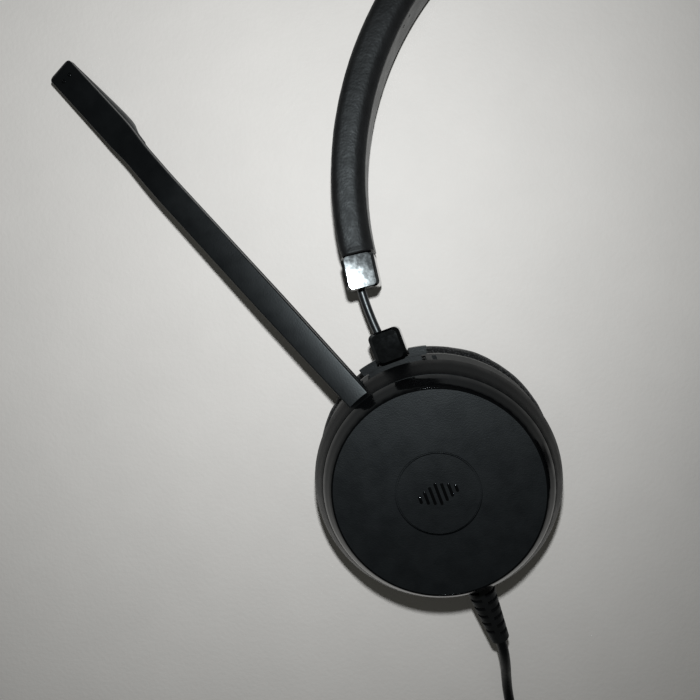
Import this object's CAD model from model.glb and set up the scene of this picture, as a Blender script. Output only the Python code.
# Office headset lying flat on a pale table, seen from above.
import math

import bmesh
import bpy
from mathutils import Matrix, Vector, noise


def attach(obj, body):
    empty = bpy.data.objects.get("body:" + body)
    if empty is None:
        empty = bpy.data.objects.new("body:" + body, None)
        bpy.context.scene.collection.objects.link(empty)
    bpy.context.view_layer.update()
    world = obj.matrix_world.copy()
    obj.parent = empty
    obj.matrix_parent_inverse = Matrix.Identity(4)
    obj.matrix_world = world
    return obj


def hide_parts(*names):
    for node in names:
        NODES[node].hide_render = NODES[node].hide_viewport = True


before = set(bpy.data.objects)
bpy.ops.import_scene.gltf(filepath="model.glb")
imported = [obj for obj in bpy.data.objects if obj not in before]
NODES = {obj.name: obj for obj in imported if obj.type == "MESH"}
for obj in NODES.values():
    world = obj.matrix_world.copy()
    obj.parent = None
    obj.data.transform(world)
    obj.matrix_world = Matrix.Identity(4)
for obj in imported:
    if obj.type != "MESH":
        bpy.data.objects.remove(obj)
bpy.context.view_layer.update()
MM = 0.001

# Sizes and places are in millimetres, except in the shaders, which work in metres.
# The headband's plane hangs from the two hinges and leans down towards the table. Places in
# the plane are measured from PIVOT, on the microphone side, and MIDDLE is half way across.
PIVOT = Vector((-9.676, 25.207, 18.0))
LEAN = math.radians(4.3105)
MIDDLE = 62.676
# Its outside is two side arcs, whose centres are 5 mm past the middle, and a top arc that
# joins them smoothly.
PAST = 5
SIDE_CENTRE = Vector((MIDDLE + PAST, 50.25))
SIDE_R = 85.0
ARCH = math.radians(35)
TOP_CENTRE = SIDE_CENTRE + Vector((-PAST, PAST * math.tan(ARCH)))
TOP_R = SIDE_R - PAST / math.cos(ARCH)
BAND_END = math.radians(14.1)
BAND_W, BAND_T = 16.0, 8.6

CUP_SPACING = 106.0
CUSHION_R, CUSHION_H, RECESS_R = 32.5, 13.0, 12.0

CORD_D = 2.8
TABLE_Z = CORD_D / 2 + 0.05
# The turns of a coil lie in columns, outermost first, with one layer on top of another.
LAYER = CORD_D
COLUMNS = [20.85 - (CORD_D + 0.1) * k for k in range(4)]


# ---- Shapes that several pieces use ----

def arc(cx, cy, r, first, last, n):
    """n + 1 points round (cx, cy), from the angle first to the angle last in degrees."""
    angles = [math.radians(first + (last - first) * i / n) for i in range(n + 1)]
    return [(cx + r * math.cos(a), cy + r * math.sin(a)) for a in angles]


def ease(x):
    """0 below 0, 1 above 1, and a smooth step between them."""
    x = min(1.0, max(0.0, x))
    return x * x * (3 - 2 * x)


def bell(x, width):
    """1 at 0, fading to nothing at a few widths on both sides."""
    return math.exp(-(x / width) ** 2)


def skin(rows, across, first=0, ring=False):
    """Quads between rows of across points each, numbered from first and closed round each
    row. Seen from ahead of the last row the points go counter-clockwise. A ring also joins
    the last row to the first, and its points go clockwise."""
    faces = []
    for i in range(rows if ring else rows - 1):
        here, there = first + i * across, first + (i + 1) % rows * across
        for k in range(across):
            m = (k + 1) % across
            if ring:
                faces.append((here + k, there + k, there + m, here + m))
            else:
                faces.append((here + k, here + m, there + m, there + k))
    return faces


def end_caps(rows, across, first=0):
    """The two faces that close the first and the last row."""
    last = first + (rows - 1) * across
    return [tuple(range(first, first + across))[::-1], tuple(range(last, last + across))]


def mesh_object(name, verts, faces):
    """A smooth-shaded object made of these points and faces."""
    data = bpy.data.meshes.new(name)
    data.from_pydata(verts, [], faces)
    data.update()
    for polygon in data.polygons:
        polygon.use_smooth = True
    obj = bpy.data.objects.new(name, data)
    bpy.context.scene.collection.objects.link(obj)
    return obj


def tidy_faces(obj, cap_size):
    """Points the faces outwards and splits the end caps, of cap_size corners, into
    triangles."""
    work = bmesh.new()
    work.from_mesh(obj.data)
    bmesh.ops.recalc_face_normals(work, faces=work.faces)
    bmesh.ops.triangulate(work, faces=[f for f in work.faces if len(f.verts) == cap_size])
    work.to_mesh(obj.data)
    work.free()


# ---- Camera and lights ----

CAMERA_PLACE = Vector((-6.9, 54.9, 194.3))
CAMERA_UP = Vector((-0.0113, 0.9916, -0.1287))
LAMP_TARGET = Vector((-123.6, 58.7, 0))


def set_camera():
    """A phone held about 20 cm above the headset, tipped slightly."""
    right = Vector((0.9962, 0, -0.0871))
    look = Vector((-0.08634, -0.12920, -0.98786))
    data = bpy.data.cameras.new("camera")
    data.lens = 36
    data.sensor_width = 36
    data.clip_start = 0.01
    camera = bpy.data.objects.new("camera", data)
    axes = Matrix((right, CAMERA_UP, -look)).transposed().to_4x4()
    camera.matrix_world = Matrix.Translation(CAMERA_PLACE * MM) @ axes
    bpy.context.scene.collection.objects.link(camera)
    bpy.context.scene.camera = camera
    bpy.context.scene.view_settings.view_transform = "Standard"


def aim(obj, place, target):
    turn = (target - place).to_track_quat("-Z", "Y").to_matrix().to_4x4()
    obj.matrix_world = Matrix.Translation(place * MM) @ turn


def set_lamp():
    """The phone's own small lamp, 24 mm above the lens."""
    data = bpy.data.lights.new("lamp", "SPOT")
    data.energy = 1.36
    data.spot_size = math.radians(178)
    data.spot_blend = 1.0
    data.shadow_soft_size = 0.0035
    data.color = (1.0, 0.99, 0.975)
    lamp = bpy.data.objects.new("lamp", data)
    aim(lamp, CAMERA_PLACE + CAMERA_UP * 24, LAMP_TARGET)
    bpy.context.scene.collection.objects.link(lamp)


def set_room():
    """A dim, slightly warm light from all round."""
    world = bpy.data.worlds.new("room")
    world.use_nodes = True
    room = world.node_tree.nodes["Background"]
    room.inputs["Color"].default_value = (1.0, 0.97, 0.86, 1)
    room.inputs["Strength"].default_value = 0.055
    bpy.context.scene.world = world


# ---- Materials ----

class Shader:
    """A Principled material whose texture nodes share object coordinates, in metres."""

    def __init__(self, name, colour, rough, metallic=0.0, coat=0.0, specular=0.5):
        self.material = bpy.data.materials.new(name)
        self.material.use_nodes = True
        self.tree = self.material.node_tree
        self.bsdf = self.tree.nodes["Principled BSDF"]
        self.coords = self.node("ShaderNodeTexCoord").outputs["Object"]
        self.colour = colour
        self.set("Base Color", (*colour, 1))
        self.set("Roughness", rough)
        self.set("Metallic", metallic)
        self.set("Coat Weight", coat)
        self.set("Coat Roughness", 0.04)
        self.set("Specular IOR Level", specular)
        self.set("Specular Tint", (0.82, 0.94, 1.0, 1))
        self.normal = None

    def node(self, kind, **values):
        n = self.tree.nodes.new(kind)
        for key, value in values.items():
            setattr(n, key, value)
        return n

    def set(self, socket, value):
        self.bsdf.inputs[socket].default_value = value

    def link(self, output, target):
        self.tree.links.new(output, target)

    def noise(self, size, detail=3.0, rough=0.55, stretch=None):
        """Noise whose blobs are about size metres across."""
        n = self.node("ShaderNodeTexNoise")
        n.inputs["Scale"].default_value = 1 / size
        n.inputs["Detail"].default_value = detail
        n.inputs["Roughness"].default_value = rough
        source = self.coords
        if stretch:
            mapping = self.node("ShaderNodeMapping")
            mapping.inputs["Scale"].default_value = stretch
            self.link(source, mapping.inputs["Vector"])
            source = mapping.outputs["Vector"]
        self.link(source, n.inputs["Vector"])
        return n.outputs["Fac"]

    def cells(self, size, feature="F1", randomness=1.0):
        n = self.node("ShaderNodeTexVoronoi", feature=feature)
        n.inputs["Scale"].default_value = 1 / size
        n.inputs["Randomness"].default_value = randomness
        self.link(self.coords, n.inputs["Vector"])
        return n.outputs["Distance"]

    def ramp(self, value, low, high, first, last):
        """first below low, last above high, blended between them."""
        n = self.node("ShaderNodeMapRange", clamp=True)
        for socket, number in zip(("From Min", "From Max", "To Min", "To Max"),
                                  (low, high, first, last)):
            n.inputs[socket].default_value = number
        self.link(value, n.inputs["Value"])
        return n.outputs["Result"]

    def vary_colour(self, value, low, high, dark, light):
        """The base colour times dark to light as value goes from low to high."""
        n = self.node("ShaderNodeMix", data_type="RGBA")
        self.link(self.ramp(value, low, high, 0, 1), n.inputs["Factor"])
        for socket, times in (("A", dark), ("B", light)):
            colour = [s for s in n.inputs if s.name == socket and s.type == "RGBA"][0]
            colour.default_value = (*[min(1, c * times) for c in self.colour], 1)
        result = [s for s in n.outputs if s.type == "RGBA"][0]
        self.link(result, self.bsdf.inputs["Base Color"])

    def vary_rough(self, value, low, high, first, last):
        self.link(self.ramp(value, low, high, first, last), self.bsdf.inputs["Roughness"])

    def bump(self, value, height, strength=1.0):
        """Adds relief of height metres on top of any relief already there."""
        n = self.node("ShaderNodeBump")
        n.inputs["Strength"].default_value = strength
        n.inputs["Distance"].default_value = height
        self.link(value, n.inputs["Height"])
        if self.normal:
            self.link(self.normal, n.inputs["Normal"])
        self.normal = n.outputs["Normal"]
        self.link(self.normal, self.bsdf.inputs["Normal"])


def grained_plastic(name, colour, rough, grain, height, **more):
    """Moulded plastic: fine spark-eroded grain, faint handling marks in the gloss."""
    s = Shader(name, colour, rough, **more)
    s.vary_colour(s.noise(0.011), 0.3, 0.7, 0.86, 1.14)
    s.vary_rough(s.noise(0.004, 5), 0.35, 0.65, rough - 0.035, rough + 0.035)
    s.bump(s.noise(grain, 2), height)
    return s.material


def gloss_plastic(name, colour, specular):
    """Piano-black plastic with the faintest ripple, fine dust and wiped smears."""
    s = Shader(name, colour, 0.1, specular=specular)
    s.vary_rough(s.noise(0.0012, 5), 0.4, 0.75, 0.085, 0.13)
    s.vary_colour(s.noise(0.0004, 2), 0.7, 0.78, 1.0, 4.0)
    s.bump(s.noise(0.006, 1), 0.00001)
    return s.material


def metal(name, colour, rough, stretch):
    """Drawn or rolled metal with fine lines and a little tarnish."""
    s = Shader(name, colour, rough, metallic=1.0)
    s.vary_colour(s.noise(0.003, 4), 0.3, 0.7, 0.8, 1.1)
    lines = s.noise(0.0004, 3, stretch=stretch)
    s.vary_rough(lines, 0.3, 0.7, rough - 0.06, rough + 0.08)
    s.bump(lines, 0.000006)
    return s.material


def drawn_wire(name):
    """Black-coated steel wire: satin, with drawing lines and a few rubbed spots."""
    s = Shader(name, (0.005, 0.0055, 0.0065), 0.33, specular=0.6)
    s.vary_colour(s.noise(0.0025, 4), 0.5, 0.75, 0.9, 3.0)
    s.vary_rough(s.noise(0.0004, 3), 0.3, 0.7, 0.3, 0.42)
    s.bump(s.noise(0.0006, 2), 0.000008)
    return s.material


def foam(name):
    """Open-cell foam with a brushed skin: dark pores and paler speckles."""
    s = Shader(name, (0.0085, 0.009, 0.0098), 0.95, specular=0.2)
    s.set("Sheen Weight", 0.08)
    s.set("Sheen Roughness", 0.5)
    speck = s.cells(0.00062)
    s.vary_colour(speck, 0.1, 0.5, 4.5, 0.35)
    s.bump(speck, 0.00016, 0.9)
    s.bump(s.noise(0.0016, 4), 0.00012, 0.8)
    return s.material


def leatherette(name):
    """Coated cloth: pebble grain over soft creases that cross the band."""
    s = Shader(name, (0.0065, 0.0067, 0.0072), 0.52, specular=0.3)
    grain = s.cells(0.00058, "SMOOTH_F1")
    s.vary_colour(s.noise(0.004, 5), 0.3, 0.7, 0.8, 1.2)
    s.vary_rough(s.noise(0.0022, 5), 0.35, 0.7, 0.46, 0.6)
    s.bump(grain, 0.00006, 0.7)
    s.bump(s.noise(0.0018, 4, 0.6), 0.00016, 0.4)
    return s.material


def jacket(name):
    """Cord sheath: soft satin vinyl, slightly scuffed."""
    s = Shader(name, (0.0016, 0.002, 0.0026), 0.42, specular=0.2)
    s.vary_colour(s.noise(0.009, 4), 0.35, 0.7, 0.8, 1.35)
    s.vary_rough(s.noise(0.0012, 4), 0.3, 0.7, 0.34, 0.5)
    s.bump(s.noise(0.00025, 2), 0.000012)
    return s.material


def circuit_board(name):
    """Green solder resist over paler copper tracks."""
    s = Shader(name, (0.008, 0.09, 0.03), 0.3, coat=0.3)
    s.vary_colour(s.cells(0.0016, "DISTANCE_TO_EDGE", 0.25), 0.04, 0.1, 1.9, 0.9)
    s.bump(s.noise(0.0009, 2), 0.00002)
    return s.material


def woven_mesh(name):
    """The black acoustic cloth inside the ear recess."""
    s = Shader(name, (0.012, 0.012, 0.013), 0.8)
    s.vary_colour(s.cells(0.0005, randomness=0.1), 0.2, 0.5, 2.2, 0.5)
    s.bump(s.cells(0.0005, randomness=0.1), 0.0001, 0.8)
    return s.material


def table_top(name):
    """Pale painted table: eggshell roller texture, barely visible."""
    s = Shader(name, (0.80, 0.80, 0.79), 0.6, specular=0.25)
    s.vary_colour(s.noise(0.03, 8, 0.7), 0.3, 0.7, 0.965, 1.02)
    s.bump(s.noise(0.0013, 4), 0.00012, 0.7)
    return s.material


BLACK = (0.0016, 0.0018, 0.0021)


def make_materials():
    return {
        "plate": grained_plastic("plate_matte", (0.0016, 0.0022, 0.003), rough=0.45,
                                 grain=0.00028, height=0.00003, specular=0.42),
        "gloss": gloss_plastic("gloss_black", BLACK, specular=0.5),
        "rim": gloss_plastic("rim_black", BLACK, specular=0.18),
        "ring": grained_plastic("ring_satin", BLACK, rough=0.34, grain=0.0003,
                                height=0.000012, specular=0.1),
        "boom": grained_plastic("boom_satin", (0.0008, 0.0012, 0.0018), rough=0.45,
                                grain=0.00035, height=0.000022, specular=0.42),
        "housing": grained_plastic("housing_black", (0.003, 0.0031, 0.0033), rough=0.34,
                                   grain=0.0004, height=0.000015, specular=0.22),
        "tab": grained_plastic("hinge_tab", (0.0025, 0.0027, 0.003), rough=0.34,
                               grain=0.0004, height=0.000012, specular=0.15),
        "liner": grained_plastic("liner_grey", (0.016, 0.0158, 0.0155), rough=0.42,
                                 grain=0.0005, height=0.00001, specular=0.4),
        "foam": foam("cushion_foam"),
        "leather": leatherette("band_leatherette"),
        "rod": drawn_wire("black_wire"),
        "steel": metal("bright_steel", (0.62, 0.62, 0.64), rough=0.25, stretch=(6, 1, 1)),
        "rubber": grained_plastic("cord_rubber", (0.0035, 0.0037, 0.0042), rough=0.5,
                                  grain=0.0003, height=0.00003, specular=0.4),
        "jacket": jacket("cord_jacket"),
        "controller": grained_plastic("controller_black", (0.006, 0.0063, 0.007), rough=0.45,
                                      grain=0.0003, height=0.000025),
        "button": grained_plastic("button_grey", (0.03, 0.032, 0.036), rough=0.4,
                                  grain=0.0003, height=0.000015),
        "board": circuit_board("circuit_board"),
        "mesh": woven_mesh("acoustic_cloth"),
        "film": grained_plastic("driver_film", (0.55, 0.46, 0.28), rough=0.3, grain=0.002,
                                height=0.00005),
        "white": grained_plastic("contact_white", (0.72, 0.72, 0.7), rough=0.4,
                                 grain=0.0005, height=0.000008),
    }


FINISHES = {
    "plate": ["mic_outer_plate", "plain_outer_plate"],
    "gloss": ["mic_yoke_block", "plain_yoke_block", "mic_side_ferrule", "plain_side_ferrule"],
    "rim": ["mic_plate_carrier", "plain_plate_carrier"],
    "ring": ["boom_ring", "plain_side_ring"],
    "housing": ["mic_housing", "plain_housing"],
    "tab": ["mic_yoke_tab", "plain_yoke_tab", "headband_frame"],
    "liner": ["headband_liner"],
    "rod": ["mic_arm_rod", "plain_arm_rod", "band_wire"],
    "steel": ["mic_hinge_pin", "plain_hinge_pin", "spring_strip", "slider_clips", "boom_washer",
              "mic_housing_screws", "plain_housing_screws", "mic_driver_magnet",
              "plain_driver_magnet", "mic_capsules", "plug_shell"],
    "rubber": ["strain_relief", "plug_overmold"],
    "controller": ["controller_top", "controller_base", "mic_baffle", "plain_baffle",
                   "mic_driver_frame", "plain_driver_frame"],
    "button": ["volume_rocker", "mute_button", "call_button"],
    "board": ["cup_board", "controller_board"],
    "mesh": ["mic_driver_grille", "plain_driver_grille"],
    "film": ["mic_driver_diaphragm", "plain_driver_diaphragm"],
    "white": ["plug_tongue"],
}
# Edge rounding in millimetres for the pieces that show.
ROUNDING = {
    0.1: ["mic_plate_carrier", "plain_plate_carrier", "volume_rocker", "mute_button",
          "call_button", "plug_shell", "boom_ring", "plain_side_ring"],
    0.3: ["mic_yoke_block", "plain_yoke_block", "mic_side_ferrule", "plain_side_ferrule"],
    0.5: ["controller_top", "plug_overmold"],
}


def paint(obj, material):
    """Gives every material slot of a piece the one material."""
    if not obj.data.materials:
        obj.data.materials.append(material)
    for number in range(len(obj.data.materials)):
        obj.data.materials[number] = material


def finish_cad_nodes(materials):
    for finish, names in FINISHES.items():
        for name in names:
            paint(NODES[name], materials[finish])
    for width, names in ROUNDING.items():
        for name in names:
            round_edges(NODES[name], width)


def round_edges(obj, width):
    """Joins the seams of the CAD mesh, then rounds its sharp edges."""
    weld = obj.modifiers.new("weld", "WELD")
    weld.merge_threshold = 0.00001
    bevel = obj.modifiers.new("rounding", "BEVEL")
    bevel.width = width * MM
    bevel.segments = 3
    bevel.limit_method = "ANGLE"
    bevel.angle_limit = math.radians(32)
    bevel.harden_normals = True
    bevel.use_clamp_overlap = True


# ---- Cords ----

ROUTES = {
    "headset": [
        (17.8, -45.6, 15.6), (19, -50, 14.2), (20.2, -56, 10.6), (21.3, -63, 5.6),
        (22.6, -71, 2.2), (24.9, -80, TABLE_Z), (29.5, -93, TABLE_Z), (39, -105.5, TABLE_Z),
        (52, -112.5, TABLE_Z), (63, -116, TABLE_Z)],
    "headset_tail": [
        (98, -110.6, 2.4), (112, -106, TABLE_Z), (128, -107, TABLE_Z), (141, -114, TABLE_Z),
        (146, -125, TABLE_Z), (143, -135, 3.4), (135.3, -138, 5.5)],
    "usb": [
        (64.7, -138, 5.5), (56, -138.5, 3.4), (47, -142, TABLE_Z), (42, -152, TABLE_Z)],
    "usb_tail": [
        (82, -183, 4), (94, -178, 2.2), (104, -175.8, 3.8), (112.3, -175.5, 4.2)],
}


def coil_slots(layers):
    """The (radius, height) places of the turns: in along the table, then back out on top."""
    slots = []
    for layer in range(layers):
        columns = COLUMNS if layer % 2 == 0 else COLUMNS[::-1]
        slots += [(r, TABLE_Z + LAYER * layer) for r in columns]
    return slots


def coil_points(centre, slots, start, turn, per_turn=20):
    """A coil from the angle start, through turn degrees. Each step to the next place is done
    a little before the turn below it steps, so that the turns never meet."""
    step_length = 40.0
    begins = [360.0 * k - step_length * (1 + max(0, k - len(COLUMNS) + 1))
              for k in range(1, len(slots))]
    count = round(turn / 360 * per_turn)
    points = []
    for i in range(count + 1):
        angle = turn * i / count
        r, z = slots[0]
        for begin, (r0, z0), (r1, z1) in zip(begins, slots, slots[1:]):
            done = ease((angle - begin) / step_length)
            r += (r1 - r0) * done
            z += (z1 - z0) * done
        a = math.radians(start + angle)
        points.append((centre[0] + r * math.cos(a), centre[1] + r * math.sin(a), z))
    return points


def smooth_curve(points, steps=3):
    """More points on the smooth (Catmull-Rom) curve through points."""
    v = [Vector(p) for p in points]
    result = []
    for i in range(len(v) - 1):
        a, b, c, d = v[max(0, i - 1)], v[i], v[i + 1], v[min(len(v) - 1, i + 2)]
        for k in range(steps):
            t = k / steps
            result.append(0.5 * (2 * b + (c - a) * t + (2 * a - 5 * b + 4 * c - d) * t * t
                                 + (3 * b - a - 3 * c + d) * t ** 3))
    return result + [v[-1]]


def coiled_cord(route, coil, tail):
    """A hand-set route into a coil, the coil, and a hand-set tail out of it."""
    return (smooth_curve(ROUTES[route] + coil[:1])[:-1] + coil
            + smooth_curve([coil[-1]] + ROUTES[tail])[1:])


def make_cord(name, points, material):
    """A round cord along points, closed at both ends, riding on the microphone cup."""
    data = bpy.data.curves.new(name, "CURVE")
    data.dimensions = "3D"
    data.bevel_depth = CORD_D / 2 * MM
    data.bevel_resolution = 4
    data.use_fill_caps = True
    spline = data.splines.new("POLY")
    spline.points.add(len(points) - 1)
    for place, p in zip(spline.points, points):
        place.co = (*(Vector(p) * MM), 1)
    spline.use_smooth = True
    cord = bpy.data.objects.new(name, data)
    bpy.context.scene.collection.objects.link(cord)
    data.materials.append(material)
    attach(cord, "mic_cup")
    return cord


def make_cords(material):
    coil = coil_points(centre=(78, -98), slots=coil_slots(2), start=255, turn=7 * 360 + 45)
    headset = coiled_cord("headset", coil, "headset_tail")
    cord = make_cord("headset_to_controller_cord", headset, material)
    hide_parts("headset_cord", "headset_cord_coil", "headset_cord_tail")

    coil = coil_points(centre=(62, -170), slots=coil_slots(3)[:9], start=174.4,
                       turn=8 * 360 + 125.8)
    usb = coiled_cord("usb", coil, "usb_tail")
    cord = make_cord("controller_to_plug_cord", usb, material)
    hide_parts("usb_cord", "usb_cord_coil", "usb_cord_tail")


# ---- Ear cushions ----

def cushion_profile():
    """(radius, height) round the cushion's section, a little inside its CAD solid: down the
    recess, across the ear side, which lies on the table, and up round the rim."""
    inner, rim, back = RECESS_R + 0.7, CUSHION_R - 0.7, CUSHION_H - 0.6
    edge_r, rim_r, ear_side = 4.0, 6.0, 0.6
    return ([(inner, back)] + arc(inner + edge_r, ear_side + edge_r, edge_r, 180, 270, 6)
            + arc(rim - rim_r, ear_side + rim_r, rim_r, 270, 395, 10) + [(rim - 2.6, back)])


def apply_modifiers(obj):
    """Keeps the shape that the modifiers give, and removes them."""
    deps = bpy.context.evaluated_depsgraph_get()
    data = bpy.data.meshes.new_from_object(obj.evaluated_get(deps))
    obj.modifiers.clear()
    obj.data = data


def swell(obj, pressure, most, frames=20):
    """Blows the piece up as cloth, and keeps each point within most metres of its start."""
    start = [v.co.copy() for v in obj.data.vertices]
    cloth = obj.modifiers.new("swell", "CLOTH")
    cloth.settings.use_pressure = True
    cloth.settings.uniform_pressure_force = pressure
    cloth.settings.effector_weights.gravity = 0
    scene = bpy.context.scene
    for number in range(1, frames + 1):
        scene.frame_set(number)
        bpy.context.view_layer.update()
    apply_modifiers(obj)
    scene.frame_set(1)
    for vert, first in zip(obj.data.vertices, start):
        move = vert.co - first
        if move.length > most:
            vert.co = first + move * (most / move.length)


def puff_up(cushion):
    """The slow part: an even mesh, swollen like foam under its skin."""
    remesh = cushion.modifiers.new("remesh", "REMESH")
    remesh.mode = "VOXEL"
    remesh.voxel_size = 1.5 * MM
    apply_modifiers(cushion)
    swell(cushion, pressure=4.0, most=1.0 * MM)


def crease_cushion(cushion, seed):
    """The joint line round the rim, the small lumps of soft foam, and the flat rest."""
    lump, lumps_per_metre, lump_zone, rim_zone = 0.22, 140, 22, 27
    seam_z, seam_depth, seam_width = 9.9, 0.5, 0.5
    for vert in cushion.data.vertices:
        r = math.hypot(vert.co.x, vert.co.y) / MM
        z = vert.co.z / MM
        out = Vector((vert.co.x, vert.co.y, 0)).normalized()
        height = noise.noise(vert.co * lumps_per_metre + Vector((seed, 0, 0)))
        vert.co += out * (lump * height * MM) * (1 if r > lump_zone else 0.4)
        if r > rim_zone:
            vert.co -= out * seam_depth * MM * bell(z - seam_z, seam_width)
        vert.co.z = min(max(vert.co.z, 0.05 * MM), CUSHION_H * MM)
        far = Vector((vert.co.x, vert.co.y)).length
        if far > CUSHION_R * MM:
            vert.co.x *= CUSHION_R * MM / far
            vert.co.y *= CUSHION_R * MM / far
    for polygon in cushion.data.polygons:
        polygon.use_smooth = True


def make_cushion(name, centre_x, body, cad_node, material):
    """A ring of foam round the ear recess: lofted, puffed up, then creased."""
    profile, around = cushion_profile(), 120
    verts = []
    for i in range(around):
        a = 2 * math.pi * i / around
        verts += [(r * math.cos(a) * MM, r * math.sin(a) * MM, z * MM) for r, z in profile]
    cushion = mesh_object(name, verts, skin(around, len(profile), ring=True))
    puff_up(cushion)
    subdivide = cushion.modifiers.new("subdivide", "SUBSURF")
    subdivide.levels = subdivide.render_levels = 1
    apply_modifiers(cushion)
    crease_cushion(cushion, centre_x)
    cushion.data.transform(Matrix.Translation((centre_x * MM, 0, 0)))
    paint(cushion, material)
    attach(cushion, body)
    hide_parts(cad_node)


# ---- Microphone boom ----

# The boom runs from the ring at BOOM_ANGLE, a little to one side of the cup's centre. t is the
# distance along it from that centre, y the distance across it and z the height.
BOOM_ANGLE, BOOM_SHIFT, BOOM_LEN = math.radians(134.26), 0.77, 145.9
BOOM_START, ARM_START = 24.3, 28
BOOM_W, POD_W = 6.65, 7.6
TIP_R = 1.0
# The underside of the boom's end, as (distance back from the tip, height).
BELLY = [(0.0, 6.3), (1.6, 4.9), (5.0, 3.6), (10.0, 2.1), (15.0, 1.0), (18.5, 0.55),
         (21.0, 0.9), (23.0, 2.3), (25.0, 5.0), (27.5, 7.8), (31.0, 8.9)]


def boom_point(t, y, z):
    return Matrix.Rotation(BOOM_ANGLE, 3, "Z") @ Vector((t, y - BOOM_SHIFT, z)) * MM


def boom_top(t):
    """A steady slope down from the cup, with a gentle bend before the pod."""
    return 28.4 - 0.15 * (t - ARM_START) - 3.4 * ease((t - 98) / 28)


def boom_bottom(t):
    """Parallel to the top, a little thinner towards the tip, with the pod's belly below."""
    arm = boom_top(t) - 4.2 + (t - ARM_START) / 90
    back = BOOM_LEN - t
    for (b0, z0), (b1, z1) in zip(BELLY, BELLY[1:]):
        if back <= b1:
            return min(arm, z0 + (z1 - z0) * (back - b0) / (b1 - b0))
    return arm


def boom_half(t):
    """Half the width: slightly narrower at the ring, wider at the pod."""
    narrow = 0.33 * (1 - min(1.0, max(0.0, (t - ARM_START) / 32)))
    return BOOM_W / 2 - narrow + (POD_W - BOOM_W) / 2 * ease((t - 112) / 10)


def rounded_bar(half, low, high, radius=0.42, groove=0.14):
    """Section of the boom: a bar with rounded corners and a joint line under the lid."""
    joint = max(high - 2.0, low + radius + 0.2)
    edge, floor = 0.07, 0.04
    right = [(half, joint - edge), (half - groove, joint - floor),
             (half - groove, joint + floor), (half, joint + edge)]
    left = [(-y, z) for y, z in right[::-1]]
    wide, under, over = half - radius, low + radius, high - radius
    return (arc(wide, under, radius, 270, 360, 4) + right + arc(wide, over, radius, 0, 90, 4)
            + arc(-wide, over, radius, 90, 180, 4) + left + arc(-wide, under, radius, 180, 270, 4))


def boom_section(t):
    """The section at t. Over the last TIP_R it draws in to round the tip."""
    over = max(0.0, t - (BOOM_LEN - TIP_R))
    half = boom_half(t) - (TIP_R - math.sqrt(max(0.0, TIP_R ** 2 - over ** 2)))
    return rounded_bar(half, boom_bottom(t) + 0.3 * over, boom_top(t) - 0.45 * over * over)


def make_boom(material):
    """Lid, channel and pod as one shell, lofted from the ring to the tip."""
    step = 0.9
    arm = int((BOOM_LEN - TIP_R - 0.5 - BOOM_START) / step) + 1
    stations = [BOOM_START + step * i for i in range(arm)]
    stations += [BOOM_LEN - TIP_R * (1 - math.sin(math.radians(15 * i))) for i in range(7)]
    sections = [boom_section(t) for t in stations]
    verts = [boom_point(t, y, z) for t, section in zip(stations, sections) for y, z in section]
    rows, across = len(sections), len(sections[0])
    boom = mesh_object("boom_shell", verts, skin(rows, across) + end_caps(rows, across))
    tidy_faces(boom, across)
    paint(boom, material)
    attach(boom, "boom")
    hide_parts("boom_arm_upper", "boom_arm_lower", "mic_pod")


def make_mic_ports(material):
    """The two sound inlets in the lid near the boom's tip, each with a raised lip."""
    port_t, port_r, lip_r = BOOM_LEN - 3.5, 0.42, 0.13
    around, across = 16, 8
    lip = arc(port_r, 0.02, lip_r, 0, 360 * (across - 1) / across, across - 1)
    verts, faces = [], []
    for y in (-1.2, 1.2):
        faces += skin(around, across, len(verts), ring=True)
        for i in range(around):
            a = 2 * math.pi * i / around
            for r, z in lip:
                verts.append(boom_point(port_t + r * math.cos(a), y + r * math.sin(a),
                                        boom_top(port_t) + z))
    ports = mesh_object("boom_mic_ports", verts, faces)
    paint(ports, material)
    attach(ports, "boom")


# ---- Plate bars ----

BAR_LENGTHS = [2, 3.4, 4.6, 5.6, 4.6, 3.4, 2]
BAR_PITCH, BAR_R = 1.5, 0.36
# Height, share of the width and share of the length, from a bar's foot to its rounded top.
BAR_LEVELS = [(34.0, 1, 1), (34.12, 1, 1), (34.17, 0.84, 0.968)]


def make_plate_bars(name, body, centre_x, lean, material):
    """Glossy caps with rounded ends on the seven raised bars of a plate."""
    place = Matrix.Translation((centre_x, 0, 0)) @ Matrix.Rotation(math.radians(lean), 4, "Z")
    verts, faces = [], []
    for i, length in enumerate(BAR_LENGTHS):
        x, end = BAR_PITCH * (i - 3), length / 2 - BAR_R
        outline = arc(0, end, BAR_R, 0, 180, 8) + arc(0, -end, BAR_R, 180, 360, 8)
        rows, across = len(BAR_LEVELS), len(outline)
        faces += skin(rows, across, len(verts)) + end_caps(rows, across, len(verts))
        for z, width, long in BAR_LEVELS:
            verts += [place @ Vector((x + px * width, py * long, z)) * MM for px, py in outline]
    bars = mesh_object(name, verts, faces)
    paint(bars, material)
    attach(bars, body)


# ---- Headband cover ----

def band_station(s):
    """Place and outward direction on the band's outer face, in its own plane, for s in
    millimetres from the top of the arch, positive towards the microphone cup."""
    top_angle = math.pi / 2 - ARCH
    beyond = abs(s) - TOP_R * top_angle
    if beyond <= 0:
        turn, centre, r = abs(s) / TOP_R, TOP_CENTRE, TOP_R
    else:
        turn, centre, r = top_angle + beyond / SIDE_R, SIDE_CENTRE, SIDE_R
    out = Vector((-math.sin(turn), math.cos(turn)))
    place = centre + out * r
    if s < 0:
        out.x = -out.x
        place.x = 2 * MIDDLE - place.x
    return place, out


def band_half_length():
    return TOP_R * (math.pi / 2 - ARCH) + SIDE_R * (ARCH + BAND_END)


def to_row(u, v, w):
    """From the band's leaned plane to the row frame, in metres."""
    y = PIVOT.y + v * math.cos(LEAN) + w * math.sin(LEAN)
    z = PIVOT.z - v * math.sin(LEAN) + w * math.cos(LEAN)
    return Vector(((PIVOT.x + u) * MM, y * MM, z * MM))


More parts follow.
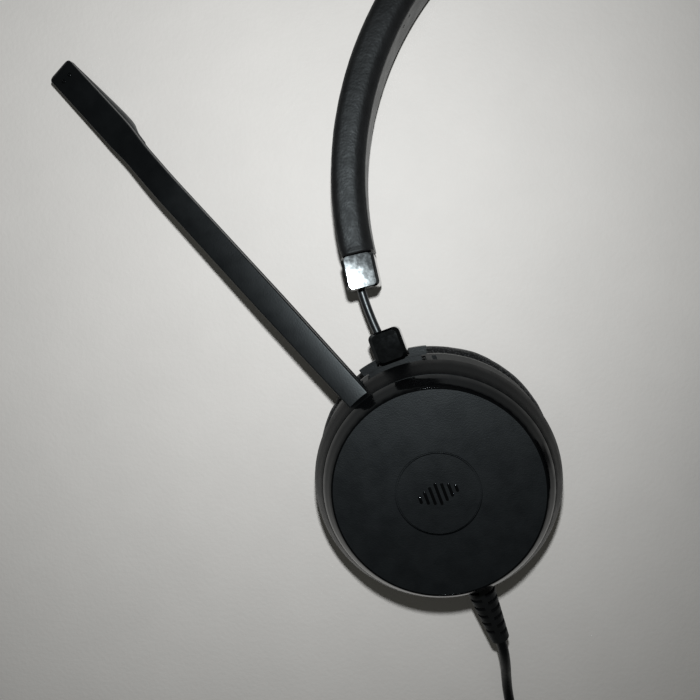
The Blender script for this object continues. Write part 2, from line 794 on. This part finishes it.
def mirrored(points):
    """The points on the band's other edge, in the opposite order."""
    return [(depth, -w) for depth, w in points[::-1]]


def cover_section():
    """(depth inwards, width) round the padded section, from the liner's lower edge over the
    outer face to the liner's upper edge, then back inside. The last points close the lining."""
    half = BAND_W / 2
    r = 2.4
    # The edge that curls round to the liner, and half of the lining behind the padding.
    curl = [(-4.2, half), (-5.9, 7.95), (-6.8, 7.6), (-7.7, 6.9), (-8.45, 6.0), (-BAND_T, 5.62)]
    lining = [(-7.75, 5.6), (-7.6, 6.2), (-6.0, 6.7), (-1.0, 6.7)]
    face = [(0.0, -half + r + (2 * half - 2 * r) * i / 14) for i in range(1, 14)]
    outside = (mirrored(curl) + arc(-r, -half + r, r, 270, 360, 7) + face
               + arc(-r, half - r, r, 0, 90, 7) + curl)
    return outside, lining + [(-0.95, 0.0)] + mirrored(lining)


def cover_relief(s, depth, w):
    """How far the leatherette stands above (or sinks below) its smooth shape, in mm."""
    fold = noise.noise(Vector((s * 0.55, w * 0.09, 3.1 + depth * 0.2)))
    fine = noise.noise(Vector((s * 1.3, w * 0.5, 9.7 + depth * 0.5)))
    soft = noise.noise(Vector((s * 0.09, w * 0.2, 5.5)))
    seam = bell(abs(w) - 6.1, 0.28) if depth > -0.8 else 0.0
    ends = bell(band_half_length() - abs(s), 1.3)
    return 0.05 * fold + 0.03 * fine + 0.1 * soft - 0.22 * seam - 0.35 * ends - 0.1


def raised(s, depth, w):
    """A point of the outside moved by the relief: in or out on the face, away from the
    middle on the edges, and less and less towards the liner."""
    lift = cover_relief(s, depth, w) * min(1.0, (depth + BAND_T) / 3)
    sideways = min(1.0, max(0.0, (abs(w) - 5.6) / 2.4))
    return depth + lift * (1 - 0.75 * sideways), w + math.copysign(lift * sideways, w)


def make_cover(material):
    """The padded leatherette, lofted along the band with its seams and creases."""
    outside, inside = cover_section()
    half, rows, across = band_half_length(), 421, len(outside) + len(inside)
    verts = []
    for i in range(rows):
        s = -half + 2 * half * i / (rows - 1)
        place, out = band_station(s)
        creased = [raised(s, depth, w) for depth, w in outside[1:-1]]
        for depth, w in outside[:1] + creased + outside[-1:] + inside:
            verts.append(to_row(*(place + out * depth), w))
    cover = mesh_object("headband_leatherette_cover", verts,
                        skin(rows, across) + end_caps(rows, across))
    tidy_faces(cover, across)
    paint(cover, material)
    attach(cover, "headband")
    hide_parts("headband_cover")


# ---- Table ----

def make_table(material):
    """2.4 m square, a hair below the headset."""
    half = 1.2
    table = mesh_object("table_top", [(-half, -half, 0), (half, -half, 0), (half, half, 0),
                                      (-half, half, 0)], [(0, 1, 2, 3)])
    table.location.z = -0.02 * MM
    paint(table, material)


set_camera()
set_lamp()
set_room()
materials = make_materials()
make_cords(materials["jacket"])
make_table(table_top("table_paint"))
finish_cad_nodes(materials)
make_cushion("mic_cushion_pad", 0, "mic_cup", "mic_ear_cushion", materials["foam"])
make_cushion("plain_cushion_pad", CUP_SPACING, "plain_cup", "plain_ear_cushion",
             materials["foam"])
make_boom(materials["boom"])
make_mic_ports(materials["rim"])
make_plate_bars("mic_plate_bars", "mic_cup", 0, 21, materials["rim"])
make_plate_bars("plain_plate_bars", "plain_cup", CUP_SPACING, -21, materials["rim"])
make_cover(materials["leather"])
